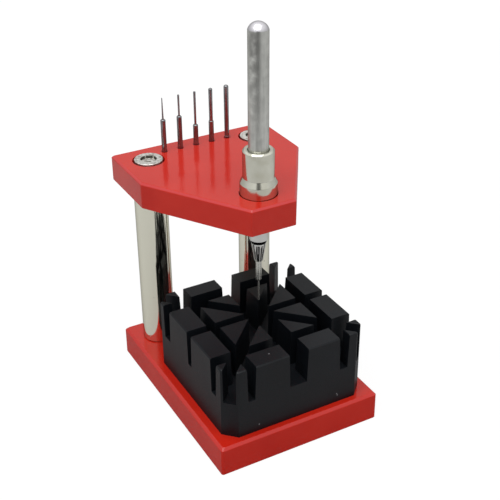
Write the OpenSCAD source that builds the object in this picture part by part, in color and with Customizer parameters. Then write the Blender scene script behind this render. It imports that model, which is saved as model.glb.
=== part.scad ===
// Watch link remover: a small bench press that pushes the pins out of a watch bracelet.
// Two columns carry a head plate over a base plate. A plunger slides in a bush in the nose of
// the head plate and holds a thin punch over a slotted block, in which the bracelet lies.
// Millimetres, +Z up, origin at the centre of the base plate's underside, front towards -Y.

/* [Base plate] */
// Width of the base plate, side to side
base_w = 70.8; // [68:0.2:100]
// Depth of the base plate, front to back
base_d = 93.6; // [90:0.2:130]
// Thickness of the base plate
base_t = 12.6; // [10:0.2:18]
// Bevel along the top edge of the base plate
base_bevel = 1; // [0.4:0.1:1.1]
// Radius of the plates' upright corners
plate_corner = 0.3; // [0.2:0.05:4]

/* [Columns] */
// Diameter of a column
column_d = 13.7; // [12:0.1:16]
// Free length of a column, from base plate to head plate
column_len = 73.4; // [68:0.2:84]
// Distance between the axes of the two columns
column_gap = 48; // [44:0.2:50]
// Distance of the column axes from the back edge of the base plate
column_inset = 12.2; // [9:0.2:14]
// Chamfer at both ends of a column
column_chamfer = 0.5; // [0.2:0.1:1]

/* [Head plate] */
// Width of the head plate
head_w = 70.6; // [66:0.2:80]
// Thickness of the head plate
head_t = 10.8; // [9.6:0.2:14]
// Distance of the column axes from the back edge of the head plate
head_back = 11.6; // [9:0.2:14]
// Length of the straight sides of the head plate
head_side = 29.4; // [24:0.2:34]
// Width of the blunt nose
nose_w = 18.9; // [18:0.1:28]
// Distance of the nose's front edge from the plunger axis
nose_reach = 11.8; // [11:0.1:18]
// Bevel along the top edge of the head plate
head_bevel = 0.8; // [0.4:0.1:1.1]
// Distance between the column axes and the plunger axis
throat = 46.9; // [45:0.1:52]

/* [Cap screws] */
// Thread diameter of the screws
screw_d = 8; // [6:0.5:8]
// Diameter of the screw heads
screw_head_d = 12; // [11:0.2:13]
// Height by which the screw heads stand above the head plate
screw_proud = 0.5; // [0:0.1:1]
// Height of the screw heads
screw_head_h = 5; // [3:0.2:5.6]
// Length of a screw under its head
screw_len = 16; // [14:1:22]
// Width across the flats of the hexagon socket
hex_af = 6; // [4:0.5:7]
// Depth of the hexagon socket
hex_depth = 3.2; // [1.5:0.1:3.6]

/* [Guide bush] */
// Diameter of the bush above its cone
bush_d = 12; // [11.6:0.1:13]
// Height of the bush above the head plate
bush_h = 17.9; // [14:0.1:24]
// Diameter of the flange of the bush
flange_d = 14.3; // [13.4:0.1:15.5]
// Height of the flange above the head plate
flange_h = 4.6; // [2:0.1:6]
// Height of the cone between flange and body
cone_h = 2.2; // [1:0.1:3]
// Depth at which the flange is let into the head plate
flange_seat = 1.2; // [0.6:0.1:2]
// Diameter of the spigot pressed into the head plate
spigot_d = 11; // [10:0.1:12]

/* [Plunger] */
// Diameter of the rod
rod_d = 7.75; // [7.2:0.05:7.8]
// Length of the rod above the chuck sleeve
rod_len = 76.3; // [66:0.1:90]
// Height of the domed head of the rod
dome_h = 2.9; // [1.5:0.1:3.5]
// Diameter of the chuck sleeve
sleeve_d = 7.4; // [7.2:0.1:7.4]
// Length of the chuck sleeve
sleeve_len = 10; // [9.4:0.2:10.2]
// Length of the collet nose below the sleeve
nose_len = 8.1; // [6:0.1:12]
// Diameter of the collet nose at the sleeve
nose_top_d = 5.8; // [5.3:0.1:5.9]
// Diameter of the collet nose at its tip
nose_tip_d = 3.7; // [3.2:0.1:4.4]
// Width of the slits between the collet jaws
slit_w = 0.45; // [0.3:0.05:0.6]
// Height of the punch tip above the holder block
tip_gap = 5.9; // [1:0.1:10]

/* [Punches] */
// Diameter of the punch in use where the collet grips it
grip_d = 2.4; // [2:0.1:2.4]
// Diameter of the punch in use at its shoulder
shoulder_d = 2.3; // [1.4:0.1:2.4]
// Length of the punch in use from collet to shoulder
shank_out = 9.2; // [6:0.2:12]
// Length of the pin of the punch in use
pin_len = 9.5; // [6:0.1:12]
// Diameter of the pin of the punch in use
pin_d = 0.7; // [0.5:0.05:1]
// Diameter of the spare punches
spare_d = 2.1; // [1.8:0.1:2.4]
// Height of the spare punches above the head plate
spare_h = 23; // [20:0.2:30]
// Distance between neighbouring spare punches
rack_pitch = 7.16; // [5:0.02:7.2]
// Distance of the row of spare punches from the head plate's back edge
rack_inset = 7.1; // [5:0.1:8]
// Offset of the row from the middle of the head plate
rack_shift = -0.6; // [-1:0.1:0]
// Depth of the holes that hold the spare punches
rack_depth = 8; // [6:0.2:8.4]

/* [Holder block] */
// Length of the block's sides just under its top bevel
block_side = 60.9; // [57:0.1:65]
// Height of the block
block_h = 30.5; // [26:0.5:34]
// Leg of the chamfer at the block's upright corners
corner_leg = 4.5; // [4:0.1:6]
// Bevel along the block's outer top edge
block_bevel = 0.45; // [0.3:0.05:1]
// Draft of the block's outer walls, in degrees
wall_draft = 1.5; // [0:0.25:2]
// Depth of all the slots
slot_depth = 15; // [12:0.5:20]
// Draft of the straight slots' walls, in degrees
slot_draft = 2; // [0.5:0.25:2.25]
// Width at the top of the wide slot from front to back
wide_slot = 8.5; // [8:0.1:10]
// Width at the top of the narrow slot from side to side
narrow_slot = 3.9; // [3:0.1:5]
// Width at the top of the slot that cuts off the left rim
rim_slot_left = 4; // [3.4:0.1:6]
// Width at the top of the slot that cuts off the front rim
rim_slot_front = 4.7; // [3.4:0.1:6]
// Width at the top of the slot that cuts off the right rim
rim_slot_right = 4.6; // [3.4:0.1:6]
// Width at the top of the slot that cuts off the back rim
rim_slot_back = 6; // [3.4:0.1:6]
// Distance of the rim slots from the block's centre
rim_slot_at = 20.6; // [19:0.1:21.5]
// Width at the top of the two diagonal slots
diagonal_slot = 5.3; // [4.6:0.1:5.6]
// Draft of the diagonal slots' walls, in degrees
diagonal_draft = 0.5; // [0:0.25:1]

/* [Hidden] */
$fn = 72;

// Clearances, each on the radius
slide_fit = 0.03;
screw_fit = 0.05;
bolt_fit = 0.3;
head_fit = 0.5;
flange_fit = 0.3;
press_fit = 0.01;
// Extra length of a cutting solid beyond the face that it opens
over = 1;
arc_steps = 6;

// Heights of the faces that the pieces stand on
head_z = base_t + column_len;
plate_z = head_z + head_t;
block_z = base_t + block_h;
tip_z = block_z + tip_gap;
shoulder_z = tip_z + pin_len;
collet_z = shoulder_z + shank_out;
sleeve_z = collet_z + nose_len;
sleeve_gap = 0.1;
rod_z = sleeve_z + sleeve_len + sleeve_gap;

// Places of the column axes and the plunger axis along Y
column_y = base_d / 2 - column_inset;
plunger_y = column_y - throat;
head_back_y = column_y + head_back;
rack_y = head_back_y - rack_inset;

// Cap screws: how deep the heads lie under the faces of the two plates, and spare depth of thread
base_sink = 0.2;
top_sink = -screw_proud;
tap_spare = 2;

// Friction ring in its groove
ring_cord = 1.2;
ring_z = plate_z + bush_h - 5;
groove_h = 1.6;

// Chuck: thread of the rod in the sleeve, tail of the collet in the rod
thread_d = 6.2;
thread_len = 6;
tail_d = 3.2;
tail_len = 6;
seat_h = 1.8;
seat_flare = 0.14;
neck_h = 0.7;
jaw_web = 0.3;
grip_len = nose_len + seat_h + neck_h + jaw_web;

// Widths of the rim slots, anticlockwise from the right
RIM_SLOTS = [rim_slot_right, rim_slot_back, rim_slot_left, rim_slot_front];

// Spare punches, thinnest pin first: height of the shoulder, pin diameter at root and at tip
SPARES = [[13.9, 0.75, 0.4], [14, 0.75, 0.85], [8.8, 0.95, 1], [8.9, 1.55, 1.65], [0.8, 1.9, 2.05]];

// Outline of a plate, given by its sharp corners anticlockwise, with round corners

function inward(a, b) = let (d = (b - a) / norm(b - a)) [-d.y, d.x];

function corner_centre(a, p, b, r) =
    let (m = inward(a, p), n = inward(p, b)) p + r * (m + n) / (1 + m * n);

function corner_arc(c, r, m, n) =
    let (start = atan2(-m.y, -m.x), turn = (atan2(-n.y, -n.x) - start + 360) % 360)
    [for (k = [0 : arc_steps]) c + r * [cos(start + turn * k / arc_steps), sin(start + turn * k / arc_steps)]];

function round_outline(pts, r, inset = 0) =
    let (n = len(pts))
    [for (i = [0 : n - 1])
        let (a = pts[(i + n - 1) % n], p = pts[i], b = pts[(i + 1) % n])
        for (q = corner_arc(corner_centre(a, p, b, r + inset), r, inward(a, p), inward(p, b))) q];

module bevelled_plate(pts, t, bevel) {
    hull() {
        linear_extrude(t - bevel) polygon(round_outline(pts, plate_corner));
        linear_extrude(t) polygon(round_outline(pts, plate_corner, bevel));
    }
}

module at_columns() {
    for (side = [-1, 1]) translate([side * column_gap / 2, column_y, 0]) children();
}

module base_plate() {
    outline = [[-base_w, -base_d], [base_w, -base_d], [base_w, base_d], [-base_w, base_d]] / 2;
    color("firebrick") difference() {
        bevelled_plate(outline, base_t, base_bevel);
        at_columns() screw_room(base_t, base_sink);
    }
}

module head_plate() {
    front_y = plunger_y - nose_reach;
    side_y = head_back_y - head_side;
    outline = [[-nose_w / 2, front_y], [nose_w / 2, front_y], [head_w / 2, side_y],
        [head_w / 2, head_back_y], [-head_w / 2, head_back_y], [-head_w / 2, side_y]];
    color("firebrick") translate([0, 0, head_z]) difference() {
        bevelled_plate(outline, head_t, head_bevel);
        translate([0, 0, head_t]) mirror([0, 0, 1]) at_columns() screw_room(head_t, top_sink);
        translate([0, plunger_y, -over]) cylinder(d = spigot_d + 2 * press_fit, h = head_t + 2 * over);
        translate([0, plunger_y, head_t - flange_seat])
            cylinder(d = flange_d + 2 * flange_fit, h = flange_seat + over);
        for (i = [0 : len(SPARES) - 1]) translate([rack_x(i), rack_y, head_t]) rack_hole();
    }
}

// Blind hole for a spare punch, with a countersunk mouth
module rack_hole() {
    rack_r = spare_d / 2 + screw_fit;
    sink = 0.4;
    translate([0, 0, -rack_depth]) cylinder(r = rack_r, h = rack_depth + over);
    translate([0, 0, -sink]) cylinder(r1 = rack_r, r2 = rack_r + sink + over, h = sink + over);
}

function rack_x(i) = rack_shift + (i - (len(SPARES) - 1) / 2) * rack_pitch;

// Counterbored hole for a cap screw, its head side at z = 0 in a plate of thickness t
module screw_room(t, sink) {
    translate([0, 0, -over]) cylinder(d = screw_head_d + 2 * head_fit, h = screw_head_h + sink + over);
    cylinder(d = screw_d + 2 * bolt_fit, h = t + over);
}

// Cap screw with its thread up and its head down, which lies at the depth sink above z = 0
module cap_screw(sink) {
    edge = 0.5;
    head_r = screw_head_d / 2;
    thread_r = screw_d / 2 - screw_fit;
    translate([0, 0, sink]) difference() {
        rotate_extrude() polygon([[0, 0], [head_r - edge, 0], [head_r, edge], [head_r, screw_head_h],
            [thread_r, screw_head_h], [thread_r, screw_head_h + screw_len - over],
            [thread_r - over, screw_head_h + screw_len], [0, screw_head_h + screw_len]]);
        translate([0, 0, -over]) cylinder(d = hex_af / cos(30), h = hex_depth + over, $fn = 6);
    }
}

module base_screws() {
    color("gray") at_columns() cap_screw(base_sink);
}

module head_screws() {
    color("lightgray") translate([0, 0, plate_z]) mirror([0, 0, 1]) at_columns() cap_screw(top_sink);
}

// Column on the base plate, tapped at both ends for the screws that come through the plates
module column(side) {
    r = column_d / 2;
    c = column_chamfer;
    tap_base = screw_len + screw_head_h + base_sink - base_t + tap_spare;
    tap_head = screw_len + screw_head_h + top_sink - head_t + tap_spare;
    translate([side * column_gap / 2, column_y, base_t]) difference() {
        rotate_extrude() polygon([[0, 0], [r - c, 0], [r, c], [r, column_len - c], [r - c, column_len],
            [0, column_len]]);
        translate([0, 0, -over]) cylinder(d = screw_d, h = tap_base + over);
        translate([0, 0, column_len - tap_head]) cylinder(d = screw_d, h = tap_head + over);
    }
}

module column_left() {
    color("silver") column(-1);
}

module column_right() {
    color("silver") column(1);
}

module on_plunger_axis(z) {
    translate([0, plunger_y, z]) children();
}

module guide_bush() {
    r = bush_d / 2;
    rim = 0.6;
    mouth = 0.4;
    bore_r = rod_d / 2 + slide_fit;
    groove_r = bore_r + ring_cord + screw_fit;
    color("lightsteelblue") on_plunger_axis(plate_z) difference() {
        rotate_extrude() polygon([[bore_r, -head_t], [spigot_d / 2, -head_t],
            [spigot_d / 2, -flange_seat], [flange_d / 2, -flange_seat], [flange_d / 2, flange_h],
            [r, flange_h + cone_h], [r, bush_h - rim], [r - rim, bush_h],
            [bore_r + mouth, bush_h], [bore_r, bush_h - mouth]]);
        translate([0, 0, ring_z - plate_z - groove_h / 2]) cylinder(r = groove_r, h = groove_h);
    }
}

module friction_ring() {
    ring_r = rod_d / 2 + slide_fit + ring_cord / 2;
    color("dimgray") on_plunger_axis(ring_z) rotate_extrude() translate([ring_r, 0])
        circle(d = ring_cord, $fn = 24);
}

module plunger_rod() {
    rod_r = rod_d / 2;
    thread_r = thread_d / 2;
    dome_r = (rod_r * rod_r + dome_h * dome_h) / (2 * dome_h);
    dome_steps = 12;
    reach = asin(min(1, rod_r / dome_r));
    full = dome_h > rod_r ? 180 - reach : reach;
    dome = [for (k = [0 : dome_steps - 1]) let (a = full * (1 - k / dome_steps))
        [dome_r * sin(a), rod_len - dome_r + dome_r * cos(a)]];
    color("darkgray") on_plunger_axis(rod_z) difference() {
        rotate_extrude() polygon(concat([[0, -thread_len], [thread_r, -thread_len], [thread_r, 0],
            [rod_r, 0]], dome, [[0, rod_len]]));
        translate([0, 0, -thread_len - over]) cylinder(d = tail_d + 2 * screw_fit, h = tail_bore() + over);
    }
}

// Depth of the bore in the rod that the collet's tail fills, from the end of the rod's thread
function tail_bore() = seat_h + neck_h + tail_len - (sleeve_len + sleeve_gap - thread_len);

// Closing sleeve: a cone at its mouth presses the collet's jaws on the punch
module chuck_sleeve() {
    r = sleeve_d / 2;
    edge = 0.3;
    mouth_r = nose_top_d / 2 + slide_fit;
    lip_w = min(0.7, r - mouth_r - 0.05);
    lip_h = 2.6;
    lip_steps = 5;
    lip = [for (k = [0 : lip_steps]) let (a = 90 * k / lip_steps)
        [r - lip_w + lip_w * sin(a), lip_h - lip_h * cos(a)]];
    bore_r = thread_d / 2 + screw_fit;
    flute_r = 0.3;
    flutes = 20;
    flute_low = 5.2;
    flute_high = 1.2;
    color("silver") on_plunger_axis(sleeve_z) difference() {
        rotate_extrude() polygon(concat([[mouth_r, 0]], lip, [[r, sleeve_len - edge],
            [r - edge, sleeve_len], [bore_r, sleeve_len], [bore_r, seat_h + neck_h],
            [mouth_r + seat_flare, seat_h + slide_fit], [mouth_r + seat_flare, seat_h]]));
        for (i = [0 : flutes - 1]) rotate(360 * i / flutes) translate([r + flute_r / 2, 0, flute_low])
            cylinder(r = flute_r, h = sleeve_len - flute_low - flute_high, $fn = 16);
    }
}

// Collet: four jaws, split from the nose into the neck, and a tail that goes into the rod
module collet() {
    top_r = nose_top_d / 2;
    tip_r = nose_tip_d / 2;
    seat_top = nose_len + seat_h;
    split_top = seat_top + neck_h / 2;
    neck_top = seat_top + neck_h;
    tail_r = tail_d / 2;
    nose_land = 0.5;
    color("silver") on_plunger_axis(collet_z) difference() {
        rotate_extrude() polygon([[0, 0], [tip_r, 0], [top_r, nose_len - nose_land], [top_r, nose_len],
            [top_r + seat_flare, seat_top], [tail_r, neck_top], [tail_r, neck_top + tail_len],
            [0, neck_top + tail_len]]);
        translate([0, 0, -over]) cylinder(d = grip_d + 2 * slide_fit, h = grip_len + over);
        for (turn = [0, 90]) rotate(turn + 20) translate([-sleeve_d / 2, -slit_w / 2, -over])
            cube([sleeve_d, slit_w, split_top + over]);
    }
}

// Punch standing on its back end, thickest there, with a round shoulder and a thin pin on top
module punch(back_r, shoulder_r, back_len, shoulder_z, root_r, tip_r, top_z) {
    steps = 5;
    blend = min(0.9 * (shoulder_r - root_r), 0.6);
    crown = 0.8 * tip_r;
    shoulder = [for (k = [0 : steps]) let (a = 90 * k / steps)
        [shoulder_r - blend + blend * cos(a), shoulder_z - blend + blend * sin(a)]];
    tip = [for (k = [0 : steps]) let (a = 90 * k / steps)
        [tip_r - crown + crown * cos(a), top_z - crown + crown * sin(a)]];
    rotate_extrude($fn = 48) polygon(concat([[0, 0], [back_r, 0], [back_r, back_len]], shoulder,
        [[root_r, shoulder_z]], tip, [[0, top_z]]));
}

module chuck_punch() {
    full = grip_len + shank_out + pin_len;
    color("darkgray") on_plunger_axis(tip_z + full) mirror([0, 0, 1])
        punch(grip_d / 2, shoulder_d / 2, grip_len, grip_len + shank_out, pin_d / 2, pin_d / 2, full);
}

module spare_punch(i) {
    spare = SPARES[i];
    color("rosybrown") translate([rack_x(i), rack_y, plate_z - rack_depth])
        punch(spare_d / 2, spare_d / 2, over, rack_depth + spare[0], spare[1] / 2, spare[2] / 2,
            rack_depth + spare_h);
}

module spare_punch_1() spare_punch(0);
module spare_punch_2() spare_punch(1);
module spare_punch_3() spare_punch(2);
module spare_punch_4() spare_punch(3);
module spare_punch_5() spare_punch(4);

// Long prism whose two drafted, bevelled walls are at the half width w at the block's top
module block_prism(w, turn) {
    foot = w + block_h * tan(wall_draft);
    brow = w + block_bevel * tan(wall_draft);
    rotate(turn) rotate([90, 0, 0]) linear_extrude(2 * block_side, center = true)
        polygon([[-foot, 0], [foot, 0], [brow, block_h - block_bevel], [w - block_bevel, block_h],
            [block_bevel - w, block_h], [-brow, block_h - block_bevel]]);
}

// Slot right through the block, wider at the top than at the floor
module block_slot(w, draft, turn, offset = 0) {
    floor_z = block_h - slot_depth;
    low = w / 2 - slot_depth * tan(draft);
    high = w / 2 + over * tan(draft);
    rotate(turn) translate([offset, 0, 0]) rotate([90, 0, 0]) linear_extrude(2 * block_side, center = true)
        polygon([[-low, floor_z], [low, floor_z], [high, block_h + over], [-high, block_h + over]]);
}

module holder_block() {
    corner_w = (block_side - corner_leg) / sqrt(2);
    color([0.16, 0.16, 0.17]) on_plunger_axis(base_t) difference() {
        intersection() {
            block_prism(block_side / 2, 0);
            block_prism(block_side / 2, 90);
            block_prism(corner_w, 45);
            block_prism(corner_w, -45);
        }
        block_slot(wide_slot, slot_draft, 0);
        block_slot(narrow_slot, slot_draft, 90);
        for (i = [0 : 3]) block_slot(RIM_SLOTS[i], slot_draft, 90 * i, rim_slot_at);
        for (turn = [45, -45]) block_slot(diagonal_slot, diagonal_draft, turn);
    }
}

base_plate();
column_left();
column_right();
base_screws();
head_plate();
head_screws();
guide_bush();
friction_ring();
plunger_rod();
chuck_sleeve();
collet();
chuck_punch();
spare_punch_1();
spare_punch_2();
spare_punch_3();
spare_punch_4();
spare_punch_5();
holder_block();
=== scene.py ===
# Watch link remover: the looks of a small bench press that pushes the pins out of a bracelet.
# Metres, +Z up, front towards -Y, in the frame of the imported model.
from math import asin, cos, pi, prod, radians, sin, tan

import bmesh
import bpy
from mathutils import Matrix, Vector


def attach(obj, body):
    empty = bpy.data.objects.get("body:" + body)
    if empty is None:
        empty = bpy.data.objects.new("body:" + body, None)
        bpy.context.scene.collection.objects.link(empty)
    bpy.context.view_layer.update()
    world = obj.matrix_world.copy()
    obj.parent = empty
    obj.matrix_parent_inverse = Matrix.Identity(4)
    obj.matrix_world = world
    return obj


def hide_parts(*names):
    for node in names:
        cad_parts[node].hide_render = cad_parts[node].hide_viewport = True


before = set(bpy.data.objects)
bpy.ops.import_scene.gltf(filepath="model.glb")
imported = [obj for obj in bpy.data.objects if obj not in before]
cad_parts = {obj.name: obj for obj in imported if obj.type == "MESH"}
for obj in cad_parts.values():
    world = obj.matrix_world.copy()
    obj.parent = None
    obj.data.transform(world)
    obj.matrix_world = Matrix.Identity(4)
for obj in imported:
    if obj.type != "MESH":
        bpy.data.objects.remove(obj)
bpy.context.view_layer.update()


# Camera and room

# The tool stands on a pale table in a white room, under one wide soft lamp that lights it at a
# plain level. Polished metal also mirrors a dark screen in front of the tool, and the part of
# the table that lies in its shade.
MM = 0.001
EYE = Vector((-0.162866, -0.302007, 0.264992))
EYE_RIGHT = Vector((0.8749394, -0.4841974, -0.0058339))
EYE_UP = Vector((0.2475513, 0.4369033, 0.8647739))
LENS_MM, SENSOR_MM, NEAREST_SEEN = 71.6809, 36, 10 * MM
LAMP_PLACE, LAMP_SIDE, LAMP_WATTS = Vector((-0.35, -0.32, 1.4)), 1.3, 15.5
WHITE, ROOM_LIGHT = (1, 1, 1), 0.6
WALL_FOOT, WALL_TOP, SCREEN_TONE = (0.55,) * 3, (0.95,) * 3, (0.15,) * 3
SCREEN_SIDE, SCREEN_LEFT = (-0.476, -0.880), (-0.880, 0.476)
SCREEN_FRONT, SCREEN_WIDTH, SCREEN_TOP = (0.6, 0.75), (0.01, 0.08), (0.6, 0.75)
WALL_FADE = 0.2, 0.6
FLOOR_DROP, FLOOR_RADIUS, FLOOR_CORNERS = 0.2 * MM, 4, 96
TABLE_PALE, TABLE_SHADED, TABLE_GLOW = (0.55,) * 3, (0.02,) * 3, 1.14
SHADE_FRONT, SHADE_WIDTH, SHADE_MIDDLE = (0.335, 0.385), (0.015, 0.12), 0.06
WHITE_SEEN, WHITE_IN_GLOSS = 0.8, 0.13


class Wire:
    """A socket whose value varies over a surface. Arithmetic on it adds Math nodes."""

    def __init__(self, finish, socket):
        self.finish, self.socket = finish, socket

    def math(self, operation, *values):
        return self.finish.node(
            "ShaderNodeMath", {"operation": operation}, dict(enumerate(values)))

    def __add__(self, other):
        return self.math("ADD", self, other)

    def __sub__(self, other):
        return self.math("SUBTRACT", self, other)

    def __rsub__(self, other):
        return self.math("SUBTRACT", other, self)

    def __mul__(self, other):
        return self.math("MULTIPLY", self, other)

    def __abs__(self):
        return self.math("ABSOLUTE", self)

    __radd__ = __add__
    __rmul__ = __mul__

    def span(self, low, high):
        """0 below low, 1 above high, and a straight slope between them."""
        return self.finish.node("ShaderNodeMapRange", {"clamp": True}, {0: self, 1: low, 2: high})


class Finish:
    """The nodes of a material or of the room, which start empty."""

    def __init__(self, owner):
        owner.use_nodes = True
        self.owner, self.tree = owner, owner.node_tree
        self.tree.nodes.clear()

    def node(self, kind, settings, values, output=0):
        """Adds a node: its settings first, then the values or links of its sockets."""
        made = self.tree.nodes.new(kind)
        for name, value in settings.items():
            setattr(made, name, value)
        for name, value in values.items():
            socket = made.inputs[name]
            if isinstance(value, Wire):
                self.tree.links.new(value.socket, socket)
            else:
                socket.default_value = (*value, 1) if socket.type == "RGBA" else value
        return Wire(self, made.outputs[output]) if len(made.outputs) else None

    def coordinates(self, kind="Object"):
        return self.node("ShaderNodeTexCoord", {}, {}, kind)

    def height(self, place):
        """How high a place lies, or how far a direction points up."""
        return self.node("ShaderNodeSeparateXYZ", {}, {"Vector": place}, "Z")

    def along(self, place, side):
        """How far a place or a direction lies towards a level side."""
        return self.node("ShaderNodeVectorMath", {"operation": "DOT_PRODUCT"}, {
            0: place, 1: (*side, 0)}, "Value")

    def blend(self, amount, low, high):
        """A colour between low and high."""
        return self.node("ShaderNodeMix", {"data_type": "RGBA"}, {0: amount, 6: low, 7: high}, 2)

    def ray(self, *kinds):
        """1 for these kinds of light path, 0 for the others."""
        rays = [self.node("ShaderNodeLightPath", {}, {}, "Is %s Ray" % kind) for kind in kinds]
        return sum(rays[1:], rays[0])


def show(name, data):
    """Puts an object into the scene."""
    shown = bpy.data.objects.new(name, data)
    scene.collection.objects.link(shown)
    return shown


scene = bpy.context.scene
scene.view_settings.view_transform = "Standard"

room = Finish(bpy.data.worlds.new("white_room"))
scene.world = room.owner
toward = room.coordinates("Generated")
height, beside = room.height(toward), room.along(toward, SCREEN_LEFT)
screen = (room.along(toward, SCREEN_SIDE).span(*SCREEN_FRONT)
          * (1 - (beside * beside).span(*SCREEN_WIDTH)) * (1 - height.span(*SCREEN_TOP)))
walls = room.blend(height.span(*WALL_FADE), WALL_FOOT, WALL_TOP)
even = room.node("ShaderNodeBackground", {}, {"Color": WHITE, "Strength": ROOM_LIGHT})
mirrored = room.node("ShaderNodeBackground", {}, {"Color": room.blend(screen, walls, SCREEN_TONE)})
behind = room.node("ShaderNodeBackground", {}, {"Color": WHITE})
lighting = room.node("ShaderNodeMixShader", {}, {0: room.ray("Glossy"), 1: even, 2: mirrored})
room.node("ShaderNodeOutputWorld", {}, {"Surface": room.node("ShaderNodeMixShader", {}, {
    0: room.ray("Camera", "Transmission"), 1: lighting, 2: behind})})

table = Finish(bpy.data.materials.new("pale_table"))
where = table.coordinates()
aside = table.along(where, SCREEN_LEFT) - SHADE_MIDDLE
shade = (table.along(where, SCREEN_SIDE).span(*SHADE_FRONT)
         * (1 - (aside * aside).span(*SHADE_WIDTH)) * table.ray("Glossy"))
matt = table.node("ShaderNodeBsdfDiffuse", {}, {
    "Color": table.blend(shade, TABLE_PALE, TABLE_SHADED), "Roughness": 1})
glow = table.node("ShaderNodeEmission", {}, {
    "Color": table.blend(shade, WHITE, TABLE_SHADED), "Strength": TABLE_GLOW})
table.node("ShaderNodeOutputMaterial", {}, {"Surface": table.node("ShaderNodeMixShader", {}, {
    0: table.ray("Camera") * WHITE_SEEN + table.ray("Glossy", "Transmission") * WHITE_IN_GLOSS,
    1: matt, 2: glow})})

disc = bmesh.new()
bmesh.ops.create_circle(disc, cap_ends=True, segments=FLOOR_CORNERS, radius=FLOOR_RADIUS,
                        matrix=Matrix.Translation((0, 0, -FLOOR_DROP)))
floor_mesh = bpy.data.meshes.new("floor")
disc.to_mesh(floor_mesh)
disc.free()
floor_mesh.materials.append(table.owner)
floor = show("floor", floor_mesh)

lamp = bpy.data.lights.new("soft_lamp", "AREA")
lamp.shape, lamp.size, lamp.energy = "SQUARE", LAMP_SIDE, LAMP_WATTS
aim = LAMP_PLACE.to_track_quat("Z", "Y").to_matrix().to_4x4()
show("soft_lamp", lamp).matrix_world = Matrix.Translation(LAMP_PLACE) @ aim

eye = bpy.data.cameras.new("eye")
eye.sensor_width, eye.lens, eye.clip_start = SENSOR_MM, LENS_MM, NEAREST_SEEN
scene.camera = show("eye", eye)
scene.camera.matrix_world = Matrix.Translation(EYE) @ Matrix(
    (EYE_RIGHT, EYE_UP, EYE_RIGHT.cross(EYE_UP))).transposed().to_4x4()


# Base plate

# A thick metal plate with a bevel milled round its top edge and two counterbores from below
# for the column screws. Sprayed red and stoved, smooth and glossy with the faint ripple of a
# sprayed coat, and duller at the sides, where the tool is handled.
BASE_WIDE, BASE_DEEP, BASE_THICK = 70.8 * MM, 93.6 * MM, 12.6 * MM
BASE_BEVEL, BASE_CORNER = 1 * MM, 0.9 * MM
EDGE_BREAK = 0.2 * MM
TURNED_STEPS, ROUND_STEPS, BREAK_STEPS = 96, 6, 3
SAME_HEIGHT, SAME_PLACE = MM / 100, MM / 2000
COLUMN_HALF_GAP, COLUMN_BACK = 24 * MM, 12.2 * MM
SCREW_HOLE, COUNTERBORE = 4.3 * MM, 6.5 * MM
SCREW_HEAD_HIGH, BASE_SINK = 5 * MM, 0.2 * MM
# The bevels' lighter red is a painted highlight, made fainter on the base plate.
RED_DEEP, RED_THIN, RED_BEVEL_HIGHLIGHT = (0.50, 0.013, 0.005), (0.56, 0.019, 0.008), (0.56, 0.045, 0.045)
RED_CLOUD, RED_RIPPLE, RED_SPECK = 45, 650, 260
BEVEL_LEAN, TOP_LEAN, SIDE_LEAN = (0.5, 0.65), (0.78, 0.93), (0.1, 0.4)
BASE_TO_HEAD = 20 * MM, 80 * MM
RED_DULL, RIPPLE_DULL, SIDE_DULL, BASE_SIDE_DULL, BASE_HIGHLIGHT_CUT = 0.12, 0.2, 0.1, 0.27, 0.6


def place(part, name, finish, body, slot, *nodes):
    """Makes an object of a bmesh, for a piece that rides on a body and stands for CAD nodes."""
    mesh = bpy.data.meshes.new(name)
    part.to_mesh(mesh)
    part.free()
    mesh.materials.append(finish)
    piece = show(name, mesh)
    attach(piece, body)
    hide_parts(*nodes)
    return piece


def smooth(piece, angle=40):
    """Smooth shading that keeps edges sharper than the angle, and broad faces flat."""
    piece.data.shade_smooth()
    piece.data.set_sharp_from_angle(angle=radians(angle))
    even = piece.modifiers.new("broad_faces_stay_flat", "WEIGHTED_NORMAL")
    even.mode, even.weight, even.keep_sharp = "FACE_AREA", 100, True


def bevel(part, edges, width, segments=1, clamped=False):
    """Bevels edges, or rounds them where there are more segments."""
    bmesh.ops.bevel(part, geom=edges, offset=width, offset_type="OFFSET", affect="EDGES",
                    segments=segments, profile=0.5, material=-1, clamp_overlap=clamped)


def break_edges(part, width, angle=28):
    """Rounds every edge that is sharper than the angle, as deburring or a mould does."""
    part.normal_update()
    sharp = [e for e in part.edges if e.calc_face_angle(0) > radians(angle)]
    bevel(part, sharp, width, BREAK_STEPS, clamped=True)


def raise_face(part, face, way):
    """Draws a face out into a solid along a vector."""
    drawn = bmesh.ops.extrude_face_region(part, geom=[face])["geom"]
    far = [v for v in drawn if isinstance(v, bmesh.types.BMVert)]
    bmesh.ops.translate(part, vec=way, verts=far)
    bmesh.ops.recalc_face_normals(part, faces=part.faces)


def plate(corners, low, high, top_bevel, corner_round):
    """A plate on an outline of corners, with a bevelled top edge and every edge broken."""
    part = bmesh.new()
    foot = part.faces.new([part.verts.new((x, y, low)) for x, y in corners])
    raise_face(part, foot, (0, 0, high - low))
    top = [e for e in part.edges if min(v.co.z for v in e.verts) > high - SAME_HEIGHT]
    bevel(part, top, top_bevel)
    upright = [e for e in part.edges if abs(e.verts[0].co.z - e.verts[1].co.z) > SAME_HEIGHT]
    bevel(part, upright, corner_round, ROUND_STEPS)
    break_edges(part, EDGE_BREAK)
    return part


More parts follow.
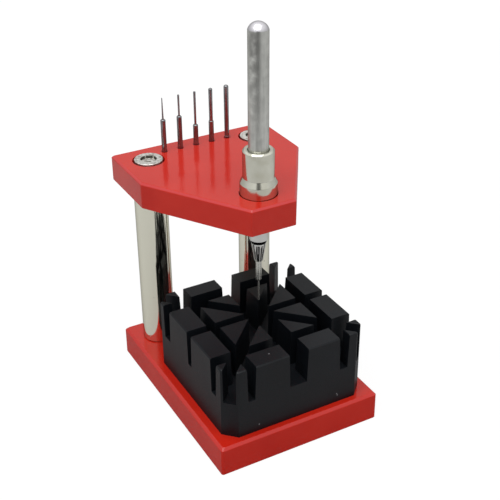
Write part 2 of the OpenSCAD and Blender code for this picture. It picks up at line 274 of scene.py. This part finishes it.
def turned(steps, x, y):
    """A turned solid from its steps, pairs of radius and height. A radius of 0 closes an end."""
    part = bmesh.new()
    line = [part.verts.new((x + r, y, z)) for r, z in steps]
    pairs = list(zip(line, line[1:]))
    if steps[0][0] > 0:
        pairs.append((line[-1], line[0]))
    edges = [part.edges.new(pair) for pair in pairs]
    bmesh.ops.spin(part, geom=line + edges, cent=(x, y, 0), axis=(0, 0, 1), dvec=(0, 0, 0),
                   angle=2 * pi, steps=TURNED_STEPS, use_merge=True)
    bmesh.ops.remove_doubles(part, verts=part.verts, dist=SAME_PLACE)
    bmesh.ops.recalc_face_normals(part, faces=part.faces)
    return part


def round_tool(x, y, steps):
    """A turned cutter, closed on its axis at both ends, from its steps from the bottom upwards."""
    return turned([(0, steps[0][1]), *steps, (0, steps[-1][1])], x, y)


def cut(part, *tools):
    """Cuts the tools out of a part, one after the other, and returns what is left."""
    holders = []
    for shape in (part, *tools):
        mesh = bpy.data.meshes.new("blank")
        shape.to_mesh(mesh)
        shape.free()
        holders.append(show("blank", mesh))
    for tool in holders[1:]:
        step = holders[0].modifiers.new("cut", "BOOLEAN")
        step.operation, step.solver, step.object = "DIFFERENCE", "EXACT", tool
    done = bmesh.new()
    done.from_object(holders[0], bpy.context.evaluated_depsgraph_get())
    for holder in holders:
        bpy.data.objects.remove(holder)
    bmesh.ops.remove_doubles(done, verts=done.verts, dist=SAME_PLACE)
    return done


def noise(finish, where, scale, detail):
    """Noise from 0 to 1. Three scales, one for each axis, draw its grain out."""
    if isinstance(scale, tuple):
        where, scale = finish.node("ShaderNodeMapping", {}, {"Vector": where, "Scale": scale}), 1
    return finish.node("ShaderNodeTexNoise", {}, {
        "Vector": where, "Scale": scale, "Detail": detail}, "Fac")


def dots(finish, where, scale, small, large):
    """Scattered dots: 1 up to the small distance from their middles, 0 past the large one."""
    away = finish.node("ShaderNodeTexVoronoi", {}, {"Vector": where, "Scale": scale}, "Distance")
    return 1 - away.span(small, large)


def relief(finish, height, strength, deep=0.2 * MM):
    return finish.node("ShaderNodeBump", {}, {
        "Strength": strength, "Distance": deep, "Height": height})


def material(finish, shader):
    """The material of a finish whose surface is the shader."""
    finish.node("ShaderNodeOutputMaterial", {}, {"Surface": shader})
    return finish.owner


def glossy_and_dull(finish, colour, rough, bumps, dull_share):
    """A smooth skin that is partly rubbed dull."""
    gloss = finish.node("ShaderNodeBsdfPrincipled", {}, {
        "Base Color": colour, "Roughness": rough, "IOR": 1.5, "Normal": bumps})
    dull = finish.node("ShaderNodeBsdfDiffuse", {}, {"Color": colour, "Normal": bumps})
    return material(finish, finish.node("ShaderNodeMixShader", {}, {
        0: dull_share, 1: gloss, 2: dull}))


def red_lacquer():
    coat = Finish(bpy.data.materials.new("red_lacquer"))
    where = coat.coordinates()
    cloud, ripple = noise(coat, where, RED_CLOUD, 3), noise(coat, where, RED_RIPPLE, 2)
    lean = coat.height(coat.coordinates("Normal"))
    on_base = 1 - coat.height(where).span(*BASE_TO_HEAD)
    on_bevel = lean.span(*BEVEL_LEAN) * (1 - lean.span(*TOP_LEAN))
    on_side = 1 - lean.span(*SIDE_LEAN)
    red = coat.blend(cloud.span(0.3, 0.7), RED_DEEP, RED_THIN)
    # Painted highlight: the bevels are coloured a lighter red, less so on the base plate.
    red = coat.blend(on_bevel * (1 - BASE_HIGHLIGHT_CUT * on_base), red, RED_BEVEL_HIGHLIGHT)
    specks = dots(coat, where, RED_SPECK, small=0.05, large=0.11)
    handled = (SIDE_DULL + BASE_SIDE_DULL * on_base) * on_side
    return glossy_and_dull(
        coat, red, rough=0.09 + 0.07 * cloud,
        bumps=relief(coat, ripple + 0.35 * specks, strength=0.09, deep=0.4 * MM),
        dull_share=RED_DULL + RIPPLE_DULL * ripple + handled)


RED_COAT = red_lacquer()
COLUMN_Y = BASE_DEEP / 2 - COLUMN_BACK
half_w, half_d = BASE_WIDE / 2, BASE_DEEP / 2
base = plate([(-half_w, -half_d), (half_w, -half_d), (half_w, half_d), (-half_w, half_d)],
             0, BASE_THICK, BASE_BEVEL, BASE_CORNER)
seat = SCREW_HEAD_HIGH + BASE_SINK
base = cut(base, *[round_tool(side * COLUMN_HALF_GAP, COLUMN_Y, [
    (COUNTERBORE, -MM), (COUNTERBORE, seat), (SCREW_HOLE, seat), (SCREW_HOLE, BASE_THICK + MM)])
    for side in (-1, 1)])
smooth(place(base, "red_base_plate", RED_COAT, "frame", "red_coat", "base_plate"))


# Columns

# Two round steel bars, ground, polished and chromed, tapped at both ends. They keep their
# turned shape from the model. A mirror finish with hair-fine polishing lines and a few
# freckles near the foot, where the plating is thin.
CHROME, CHROME_FRECKLE, EDGE_TINT = (0.86, 0.85, 0.72), (0.30, 0.26, 0.18), (0.55, 0.55, 0.53)
POLISH_LINES, CHROME_HAZE, CHROME_DOTS = (2600, 2600, 70), 90, 420
FOOT_FADE = 20 * MM, 60 * MM


def dress(name, finish):
    """Gives a node of the model its finish and leaves its shape alone."""
    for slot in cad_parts[name].material_slots:
        slot.material = finish


def bright(metal, colour, rough, bumps, metallic=1.0):
    """Bare or plated metal, which mirrors a little greyer towards its edges."""
    return material(metal, metal.node("ShaderNodeBsdfPrincipled", {}, {
        "Base Color": colour, "Metallic": metallic, "Specular Tint": EDGE_TINT,
        "Roughness": rough, "Normal": bumps}))


def chromed_steel():
    plating = Finish(bpy.data.materials.new("chromed_steel"))
    where = plating.coordinates()
    haze = noise(plating, where, CHROME_HAZE, 4)
    freckle = (dots(plating, where, CHROME_DOTS, small=0.07, large=0.16)
               * (1 - plating.height(where).span(*FOOT_FADE)) * haze.span(0.48, 0.6))
    return bright(plating, plating.blend(freckle, CHROME, CHROME_FRECKLE),
                  rough=0.07 + 0.06 * haze + 0.3 * freckle, metallic=1 - 0.4 * freckle,
                  bumps=relief(plating, noise(plating, where, POLISH_LINES, 3), strength=0.012))


CHROMED = chromed_steel()
for side in ("left", "right"):
    dress("column_" + side, CHROMED)


# Head plate

# The same red plate, milled to a rectangle over the columns that tapers to a blunt nose.
# Counterbored for the screws, bored and recessed for the bush, and drilled behind with five
# blind holes, each with a small countersink, that hold the spare punches.
HEAD_LOW, HEAD_HIGH = 86 * MM, 96.8 * MM
HEAD_HALF, HEAD_BACK_Y, HEAD_SIDE_Y = 35.3 * MM, 46.2 * MM, 16.8 * MM
NOSE_HALF, NOSE_Y = 9.45 * MM, -24.1 * MM
HEAD_BEVEL, HEAD_CORNER = 0.8 * MM, 0.3 * MM
PLUNGER_Y = -12.3 * MM
BUSH_BORE, BUSH_RECESS, BUSH_RECESS_DEEP = 5.51 * MM, 7.45 * MM, 1.2 * MM
SPARES, RACK_Y, RACK_PITCH, RACK_SHIFT = 5, 39.1 * MM, 7.16 * MM, -0.6 * MM
RACK_BORE, RACK_DEEP, RACK_SINK = 1.1 * MM, 8 * MM, 0.4 * MM
SCREW_PROUD = 0.5 * MM

head = plate([(-NOSE_HALF, NOSE_Y), (NOSE_HALF, NOSE_Y), (HEAD_HALF, HEAD_SIDE_Y),
              (HEAD_HALF, HEAD_BACK_Y), (-HEAD_HALF, HEAD_BACK_Y), (-HEAD_HALF, HEAD_SIDE_Y)],
             HEAD_LOW, HEAD_HIGH, HEAD_BEVEL, HEAD_CORNER)
above, below = HEAD_HIGH + MM, HEAD_LOW - MM
screw_seat = HEAD_HIGH + SCREW_PROUD - SCREW_HEAD_HIGH
bush_seat = HEAD_HIGH - BUSH_RECESS_DEEP
tools = [round_tool(side * COLUMN_HALF_GAP, COLUMN_Y, [
    (SCREW_HOLE, below), (SCREW_HOLE, screw_seat), (COUNTERBORE, screw_seat),
    (COUNTERBORE, above)]) for side in (-1, 1)]
tools.append(round_tool(0, PLUNGER_Y, [
    (BUSH_BORE, below), (BUSH_BORE, bush_seat), (BUSH_RECESS, bush_seat), (BUSH_RECESS, above)]))
for number in range(SPARES):
    tools.append(round_tool(RACK_SHIFT + (number - (SPARES - 1) / 2) * RACK_PITCH, RACK_Y, [
        (RACK_BORE, HEAD_HIGH - RACK_DEEP), (RACK_BORE, HEAD_HIGH - RACK_SINK),
        (RACK_BORE + RACK_SINK + MM, above)]))
smooth(place(cut(head, *tools), "red_head_plate", RED_COAT, "frame", "red_coat", "head_plate"))


# Cap screws

# Four low-head M8 cap screws, bright zinc, two down through the head plate and two up through
# the base. The heads are turned with a round edge. The hexagon socket is drilled and then
# broached, so the drill's point shows in its floor, and it is rougher than the rim. Its walls are
# painted dark down to just above the floor, a painted shade.
BRIGHT_ZINC, DULL_ZINC, SOCKET_PAINTED_SHADE = (0.84, 0.83, 0.79), (0.48, 0.46, 0.42), (0.09, 0.085, 0.07)
ZINC_GRAIN, ZINC_CLOUD = 1900, 900
RIM_FADE, WALL_FROM, WALL_FULL = 0.25 * MM, 0.1 * MM, 0.4 * MM
SCREW_HEAD, SCREW_EDGE = 5.75 * MM, 0.2 * MM
SOCKET_CORNER, SOCKET_DEEP, SOCKET_MOUTH = 3.464 * MM, 1.4 * MM, 3.3 * MM
PILOT, PILOT_DEEP = 1.1 * MM, 3 * MM
THREAD, THREAD_LONG, THREAD_PITCH, THREAD_CUT = 3.95 * MM, 16 * MM, 1.25 * MM, 0.35 * MM
SCREW_POINT = THREAD - MM


def cap_screw(x, y, head_z, way):
    """A cap screw whose head's face is at head_z, and whose thread points along way (1 is up)."""
    steps = [(0, 0)]
    for turn in (radians(90 * k / ROUND_STEPS) for k in range(ROUND_STEPS + 1)):
        steps.append((SCREW_HEAD - SCREW_EDGE * (1 - sin(turn)), SCREW_EDGE * (1 - cos(turn))))
    steps += [(SCREW_HEAD, SCREW_HEAD_HIGH), (THREAD, SCREW_HEAD_HIGH)]
    crest, end = SCREW_HEAD_HIGH + THREAD_PITCH, SCREW_HEAD_HIGH + THREAD_LONG
    while crest + THREAD_PITCH < end - MM:
        steps += [(THREAD, crest), (THREAD - THREAD_CUT, crest + THREAD_PITCH / 2)]
        crest += THREAD_PITCH
    steps += [(THREAD, crest), (SCREW_POINT, end), (0, end)]
    screw = turned([(r, head_z + way * z) for r, z in steps], x, y)
    socket = bmesh.new()
    bmesh.ops.create_circle(socket, cap_ends=True, segments=6, radius=SOCKET_CORNER,
                            matrix=Matrix.Translation((x, y, head_z + way * SOCKET_DEEP)))
    raise_face(socket, socket.faces[:][0], (0, 0, -way * (SOCKET_DEEP + MM)))
    mouth = [(SOCKET_MOUTH + MM, head_z - way * MM), (SOCKET_MOUTH - MM, head_z + way * MM)]
    pilot = [(PILOT, head_z), (PILOT, head_z + way * PILOT_DEEP)]
    return cut(screw, socket, *[round_tool(x, y, line[::way]) for line in (mouth, pilot)])


def zinc():
    plating = Finish(bpy.data.materials.new("bright_zinc"))
    where = plating.coordinates()
    grain, cloud = noise(plating, where, ZINC_GRAIN, 3), noise(plating, where, ZINC_CLOUD, 4)
    mirrored = plating.node("ShaderNodeVectorMath", {"operation": "ABSOLUTE"}, {0: where})
    from_axis = plating.node("ShaderNodeVectorMath", {"operation": "SUBTRACT"}, {
        0: mirrored, 1: (COLUMN_HALF_GAP, COLUMN_Y, 0)})
    flat = plating.node("ShaderNodeVectorMath", {"operation": "MULTIPLY"}, {
        0: from_axis, 1: (1, 1, 0)})
    radius = plating.node("ShaderNodeVectorMath", {"operation": "LENGTH"}, {0: flat}, "Value")
    socket = 1 - radius.span(SOCKET_CORNER - RIM_FADE, SOCKET_CORNER)
    middle = (BASE_SINK + HEAD_HIGH + SCREW_PROUD) / 2
    floor_reach = middle - BASE_SINK - SOCKET_DEEP
    # Painted shade: the socket's walls are coloured dark from the rim to just above its floor.
    wall = socket * abs(plating.height(where) - middle).span(
        floor_reach + WALL_FROM, floor_reach + WALL_FULL)
    tone = plating.blend(cloud.span(0.42, 0.62), BRIGHT_ZINC, DULL_ZINC)
    return bright(plating, plating.blend(wall, tone, SOCKET_PAINTED_SHADE),
                  rough=0.32 + 0.2 * grain + 0.2 * socket,
                  bumps=relief(plating, grain, strength=0.3))


ZINC = zinc()
for level, head_z, way in (("base", BASE_SINK, 1), ("head", HEAD_HIGH + SCREW_PROUD, -1)):
    pair = bmesh.new()
    for side in (-1, 1):
        screw = cap_screw(side * COLUMN_HALF_GAP, COLUMN_Y, head_z, way)
        one = bpy.data.meshes.new("one_screw")
        screw.to_mesh(one)
        screw.free()
        pair.from_mesh(one)
    smooth(place(pair, "cap_screws_" + level, ZINC, "frame", "screw_steel", level + "_screws"))


# Guide bush and friction ring

# A turned steel bush, nickel plated and left satin, pressed into the nose. Its flange sits in
# a recess, a cone leads up to the barrel, and a rubber ring in its bore grips the plunger.
# Its steps are millimetres: the radius, and the height over the head plate.
BUSH_STEPS = [(3.905, -10.8), (5.5, -10.8), (5.5, -1.2), (7.15, -1.2), (7.15, 4.6), (6, 6.8),
              (6, 17.3), (5.4, 17.9), (4.305, 17.9), (3.905, 17.5), (3.905, 13.7), (5.155, 13.7),
              (5.155, 12.1), (3.905, 12.1)]
BUSH_BREAK = 0.12 * MM
NICKEL, NICKEL_WARM = (0.73, 0.73, 0.64), (0.61, 0.60, 0.50)
TURNING_RINGS, METAL_CLOUD, DARK_FADE = (120, 120, 5200), 210, 0.1 * MM
RUBBER, RUBBER_BLOOM, RUBBER_GRAIN = (0.02, 0.02, 0.021), (0.045, 0.045, 0.045), 900


def satin(name, light, dark, rough, uneven, brushed, dark_below=0, dark_tone=(0, 0, 0)):
    """Turned metal: rings round the axis, a mottled tone, and a roughness to suit. Below a given
    height it takes a given dark tone instead."""
    metal = Finish(bpy.data.materials.new(name))
    where = metal.coordinates()
    cloud = noise(metal, where, METAL_CLOUD, 5)
    clean = metal.blend(cloud.span(0.3, 0.75), light, dark)
    above_dark = metal.height(where).span(dark_below - DARK_FADE, dark_below + DARK_FADE)
    return bright(metal, metal.blend(above_dark, dark_tone, clean), rough=rough + uneven * cloud,
                  bumps=relief(metal, noise(metal, where, TURNING_RINGS, 2), strength=brushed))


def rubber():
    black = Finish(bpy.data.materials.new("black_rubber"))
    bloom = noise(black, black.coordinates(), RUBBER_GRAIN, 3)
    return material(black, black.node("ShaderNodeBsdfPrincipled", {}, {
        "Base Color": black.blend(bloom, RUBBER, RUBBER_BLOOM), "Roughness": 0.5 + 0.2 * bloom}))


bush = turned([(r * MM, HEAD_HIGH + z * MM) for r, z in BUSH_STEPS], 0, PLUNGER_Y)
break_edges(bush, BUSH_BREAK, angle=20)
SATIN_NICKEL = satin("satin_nickel", NICKEL, NICKEL_WARM, rough=0.08, uneven=0.12, brushed=0.04)
smooth(place(bush, "nickel_bush", SATIN_NICKEL, "frame", "bush_nickel", "guide_bush"), angle=24)
dress("friction_ring", rubber())


# Plunger rod

# A ground steel bar with a domed head to press or tap on, and a thread below for the chuck.
# Satin, with faint scuffs along it from sliding through the bush. One side of its upper end is
# painted grey, a painted dark reflection, and its dome is tinted a little lavender, a painted
# reflection tint.
ROD, ROD_LOW, ROD_HIGH, DOME, DOME_STEPS = 3.875 * MM, 85.9 * MM, 162.2 * MM, 2.9 * MM, 16
ROD_THREAD, ROD_THREAD_PITCH, ROD_THREAD_CUT = 3.1 * MM, 0.75 * MM, 0.25 * MM
ROD_END, ROD_CRESTS = 79.9 * MM, 6
TAIL_BORE, TAIL_BORE_TOP = 1.65 * MM, 84.3 * MM
ROD_PALE, ROD_GREY, ROD_DOME_REFLECTION_TINT = (0.66, 0.665, 0.63), (0.46, 0.465, 0.44), (0.68, 0.67, 0.70)
ROD_PAINTED_REFLECTION, REFLECTION_SIDE = (0.30, 0.30, 0.285), (-0.859, -0.505)
REFLECTION_REACH, REFLECTION_FADE = (0.84 * ROD, 0.98 * ROD), (120 * MM, 150 * MM)
DOME_FADE = ROD_HIGH - DOME, ROD_HIGH - DOME + 0.4 * MM
ROD_SCUFFS, GRINDING_RINGS, ROD_CLOUD = (900, 900, 60), (150, 150, 3600), 330


def rod_steel():
    steel = Finish(bpy.data.materials.new("satin_rod_steel"))
    where = steel.coordinates()
    scuffs, rings = noise(steel, where, ROD_SCUFFS, 4), noise(steel, where, GRINDING_RINGS, 2)
    cloud, height = noise(steel, where, ROD_CLOUD, 5), steel.height(where)
    shaft = steel.blend((0.5 * cloud + 0.5 * scuffs).span(0.35, 0.65), ROD_PALE, ROD_GREY)
    facing = steel.along(where, REFLECTION_SIDE) - REFLECTION_SIDE[1] * PLUNGER_Y
    # Painted reflection: one side of the upper end is coloured grey.
    painted_reflection = facing.span(*REFLECTION_REACH) * height.span(*REFLECTION_FADE) * cloud.span(0.3, 0.6)
    # Painted reflection tint: the dome is coloured a little lavender.
    tip = height.span(*DOME_FADE)
    return bright(steel, steel.blend(tip, steel.blend(painted_reflection, shaft, ROD_PAINTED_REFLECTION), ROD_DOME_REFLECTION_TINT),
                  rough=0.27 + 0.12 * scuffs,
                  bumps=relief(steel, rings + 0.5 * scuffs, strength=0.1))


steps = [(0, TAIL_BORE_TOP), (TAIL_BORE, TAIL_BORE_TOP), (TAIL_BORE, ROD_END),
         (ROD_THREAD, ROD_END)]
for number in range(1, ROD_CRESTS + 1):
    crest = ROD_END + number * ROD_THREAD_PITCH
    steps += [(ROD_THREAD, crest), (ROD_THREAD - ROD_THREAD_CUT, crest + ROD_THREAD_PITCH / 2)]
steps += [(ROD_THREAD - ROD_THREAD_CUT, ROD_LOW), (ROD, ROD_LOW)]
dome_radius = (ROD * ROD + DOME * DOME) / (2 * DOME)
dome_reach = asin(ROD / dome_radius)
for number in range(DOME_STEPS, -1, -1):
    turn = dome_reach * number / DOME_STEPS
    steps.append((dome_radius * sin(turn), ROD_HIGH - dome_radius * (1 - cos(turn))))
smooth(place(turned(steps, 0, PLUNGER_Y), "steel_plunger_rod", rod_steel(), "plunger", "rod_steel",
             "plunger_rod"))


# Chuck

# A closing sleeve screwed on the rod's lower end, fluted for the fingers, and the four-jaw
# split collet that it closes on the punch. Turned, hardened and polished like a mirror. The
# sleeve's chamfered lip is coloured nearly black, up to just below its top.
SLEEVE, SLEEVE_LOW, SLEEVE_HIGH, SLEEVE_EDGE = 3.7 * MM, 75.8 * MM, 85.8 * MM, 0.3 * MM
LIP_WIDE, LIP_HIGH = 0.7 * MM, 1.6 * MM
LIP_DARK_TONE, LIP_DARK_TO = (0.03, 0.03, 0.03), SLEEVE_LOW + 0.9 * LIP_HIGH
MOUTH, SLEEVE_BORE, MOUTH_FLARE, MOUTH_STEP = 2.93 * MM, 3.15 * MM, 0.14 * MM, 0.03 * MM
SEAT_TOP, NECK_TOP = 77.6 * MM, 78.3 * MM
FLUTES, FLUTE_STEPS, FLUTE, FLUTE_LOW, FLUTE_HIGH = 20, 24, 0.3 * MM, 81 * MM, 84.6 * MM
NOSE, NOSE_TIP, NOSE_LAND, NOSE_LOW = 2.9 * MM, 1.7 * MM, 0.6 * MM, 67.7 * MM
GRIP, GRIP_TOP, TAIL, TAIL_TOP = 1.23 * MM, 78.6 * MM, 1.6 * MM, 84.3 * MM
SLIT, SLIT_TURN, SPLIT_TOP = 0.45 * MM, 20, 77.95 * MM
CHUCK_TONES = (0.70, 0.70, 0.68), (0.62, 0.62, 0.60)
MIRROR = {"rough": 0.01, "uneven": 0.02, "brushed": 0.002}


def turn_to_plunger(tool, turn):
    """Turns a tool that was made at the origin, and moves it to the plunger's axis."""
    bmesh.ops.rotate(tool, cent=(0, 0, 0), verts=tool.verts,
                     matrix=Matrix.Rotation(radians(turn), 3, "Z"))
    bmesh.ops.translate(tool, vec=(0, PLUNGER_Y, 0), verts=tool.verts)


sleeve = turned([
    (MOUTH, SLEEVE_LOW), (SLEEVE - LIP_WIDE, SLEEVE_LOW), (SLEEVE, SLEEVE_LOW + LIP_HIGH),
    (SLEEVE, SLEEVE_HIGH - SLEEVE_EDGE), (SLEEVE - SLEEVE_EDGE, SLEEVE_HIGH),
    (SLEEVE_BORE, SLEEVE_HIGH), (SLEEVE_BORE, NECK_TOP),
    (MOUTH + MOUTH_FLARE, SEAT_TOP + MOUTH_STEP), (MOUTH + MOUTH_FLARE, SEAT_TOP)], 0, PLUNGER_Y)
flutes = bmesh.new()
flute_out, flute_middle = SLEEVE + FLUTE / 2, (FLUTE_LOW + FLUTE_HIGH) / 2
for number in range(FLUTES):
    turn = 2 * pi * number / FLUTES
    bmesh.ops.create_cone(
        flutes, cap_ends=True, segments=FLUTE_STEPS, radius1=FLUTE, radius2=FLUTE,
        depth=FLUTE_HIGH - FLUTE_LOW, matrix=Matrix.Translation((
            flute_out * cos(turn), PLUNGER_Y + flute_out * sin(turn), flute_middle)))
CHUCK_STEEL = satin("polished_chuck_steel", *CHUCK_TONES, **MIRROR)
SLEEVE_STEEL = satin("dark_lipped_sleeve_steel", *CHUCK_TONES, **MIRROR, dark_below=LIP_DARK_TO, dark_tone=LIP_DARK_TONE)
smooth(place(cut(sleeve, flutes), "steel_chuck_sleeve", SLEEVE_STEEL, "sleeve", "chuck_steel",
             "chuck_sleeve"), angle=20)

collet = turned([
    (0, GRIP_TOP), (GRIP, GRIP_TOP), (GRIP, NOSE_LOW), (NOSE_TIP, NOSE_LOW),
    (NOSE, SLEEVE_LOW - NOSE_LAND), (NOSE, SLEEVE_LOW), (NOSE + MOUTH_FLARE, SEAT_TOP),
    (TAIL, NECK_TOP), (TAIL, TAIL_TOP), (0, TAIL_TOP)], 0, PLUNGER_Y)
slits = []
for turn in (SLIT_TURN, SLIT_TURN + 90):
    slit = bmesh.new()
    foot = slit.faces.new([slit.verts.new((x, y, NOSE_LOW - MM)) for x, y in (
        (-SLEEVE, -SLIT / 2), (SLEEVE, -SLIT / 2), (SLEEVE, SLIT / 2), (-SLEEVE, SLIT / 2))])
    raise_face(slit, foot, (0, 0, SPLIT_TOP - NOSE_LOW + MM))
    turn_to_plunger(slit, turn)
    slits.append(slit)
smooth(place(cut(collet, *slits), "steel_collet", CHUCK_STEEL, "plunger", "chuck_steel",
             "collet"), angle=5)


# Punches

# Hardened steel punches, ground: the one in use hangs pin down in the collet, and five spare
# ones stand pin up in the rack, from the thinnest on the left to the plain one on the right.
PUNCH_TONES = (0.62, 0.62, 0.58), (0.48, 0.48, 0.44)
SPARE_TONES = (0.32, 0.32, 0.33), (0.18, 0.18, 0.19)

PUNCH_STEEL = satin("ground_punch_steel", *PUNCH_TONES, rough=0.12, uneven=0.1, brushed=0.03)
dress("chuck_punch", PUNCH_STEEL)
# The spare punches are coloured darker than the one in the collet.
SPARE_STEEL = satin("darker_spare_steel", *SPARE_TONES, rough=0.14, uneven=0.12, brushed=0.03)
for number in range(1, SPARES + 1):
    dress("spare_punch_%d" % number, SPARE_STEEL)


# Holder block

# A block moulded in black nylon, with drafted walls, chamfered corners and drafted slots in
# eight directions, in which a bracelet stands on edge. It lies loose on the base. Matt, with
# the fine grain of its mould, soft edges at its corner spikes and a few bright specks of dust.
BLOCK_LOW, BLOCK_HIGH = BASE_THICK, 43.1 * MM
BLOCK_FOOT, BLOCK_CORNER = 31.25 * MM, 26.28 * MM
BLOCK_DRAFT, BLOCK_BEVEL = radians(1.5), 0.45 * MM
SLOT_FLOOR, SLOT_REACH, SLOT_DRAFT, DIAGONAL_DRAFT = 28.1 * MM, 60 * MM, radians(2), radians(0.5)
RIM_SLOT_AT = 20.6 * MM
SLOTS = [  # the way it points in degrees, its distance from the plunger, its width, its draft
    (0, 0, 8.5 * MM, SLOT_DRAFT), (90, 0, 3.9 * MM, SLOT_DRAFT),
    (0, RIM_SLOT_AT, 4.6 * MM, SLOT_DRAFT), (90, RIM_SLOT_AT, 6 * MM, SLOT_DRAFT),
    (180, RIM_SLOT_AT, 4 * MM, SLOT_DRAFT), (270, RIM_SLOT_AT, 4.7 * MM, SLOT_DRAFT),
    (45, 0, 5.3 * MM, DIAGONAL_DRAFT), (-45, 0, 5.3 * MM, DIAGONAL_DRAFT)]
MOULD_EDGE, SPIKE_EDGE, SPIKES_FROM, SPIKE_ANGLE = 0.3 * MM, 0.8 * MM, 22.5 * MM, radians(28)
NYLON, NYLON_WORN, DUST = (0.0028, 0.0038, 0.0054), (0.0046, 0.006, 0.0082), (0.2, 0.21, 0.22)
NYLON_GRAIN, NYLON_CLOUD, DUST_SPECK = 2200, 60, (0.2 * MM, 0.4 * MM)
DUST_AT = (-17.5, -43.5, 15.6), (17.9, -43.5, 16.6), (-10.4, -38.5, 43.1), (18.2, -43.5, 15.9)


def black_nylon():
    nylon = Finish(bpy.data.materials.new("black_nylon"))
    where = nylon.coordinates()
    grain, cloud = noise(nylon, where, NYLON_GRAIN, 3), noise(nylon, where, NYLON_CLOUD, 4)
    away = [nylon.node("ShaderNodeVectorMath", {"operation": "DISTANCE"}, {
        0: where, 1: [c * MM for c in spot]}, "Value") for spot in DUST_AT]
    dusty = 1 - prod(distance.span(*DUST_SPECK) for distance in away)
    black = nylon.blend(cloud.span(0.35, 0.7), NYLON, NYLON_WORN)
    black = nylon.blend(dusty * grain.span(0.4, 0.5), black, DUST)
    return glossy_and_dull(nylon, black, rough=0.34 + 0.14 * cloud,
                           bumps=relief(nylon, grain, strength=0.16), dull_share=0.4 + 0.2 * grain)


def slot_tool(turn, offset, width, draft):
    """A long wedge of the slot's section, turned about the plunger's axis."""
    tool = bmesh.new()
    depth = BLOCK_HIGH - SLOT_FLOOR
    low, high = width / 2 - depth * tan(draft), width / 2 + MM * tan(draft)
    ring = [tool.verts.new((offset + x, -SLOT_REACH, z)) for x, z in (
        (-low, SLOT_FLOOR), (low, SLOT_FLOOR), (high, BLOCK_HIGH + MM), (-high, BLOCK_HIGH + MM))]
    raise_face(tool, tool.faces.new(ring), (0, 2 * SLOT_REACH, 0))
    turn_to_plunger(tool, turn)
    return tool


block = bmesh.new()
quarter = [(BLOCK_FOOT, BLOCK_CORNER), (BLOCK_CORNER, BLOCK_FOOT)]
outline = quarter + [(-x, y) for x, y in reversed(quarter)]
outline += [(x, -y) for x, y in reversed(outline)]
foot = block.faces.new([block.verts.new((x, PLUNGER_Y + y, BLOCK_LOW)) for x, y in outline])
wall = BLOCK_HIGH - BLOCK_LOW - BLOCK_BEVEL
for inset, rise in ((wall * tan(BLOCK_DRAFT), wall), (BLOCK_BEVEL, BLOCK_BEVEL)):
    bmesh.ops.inset_region(block, faces=[foot], thickness=inset, use_even_offset=True,
                           use_boundary=True)
    bmesh.ops.translate(block, vec=(0, 0, rise), verts=foot.verts)
bmesh.ops.holes_fill(block, edges=[e for e in block.edges if e.is_boundary])
bmesh.ops.recalc_face_normals(block, faces=block.faces)
block = cut(block, *[slot_tool(*slot) for slot in SLOTS])
spikes = [e for e in block.edges if e.calc_face_angle(0) > SPIKE_ANGLE and all(
    v.co.z > SLOT_FLOOR + MM and min(abs(v.co.x), abs(v.co.y - PLUNGER_Y)) > SPIKES_FROM
    for v in e.verts)]
bevel(block, spikes, SPIKE_EDGE, ROUND_STEPS, clamped=True)
break_edges(block, MOULD_EDGE)
smooth(place(block, "nylon_holder_block", black_nylon(), "block", "black_nylon", "holder_block"))
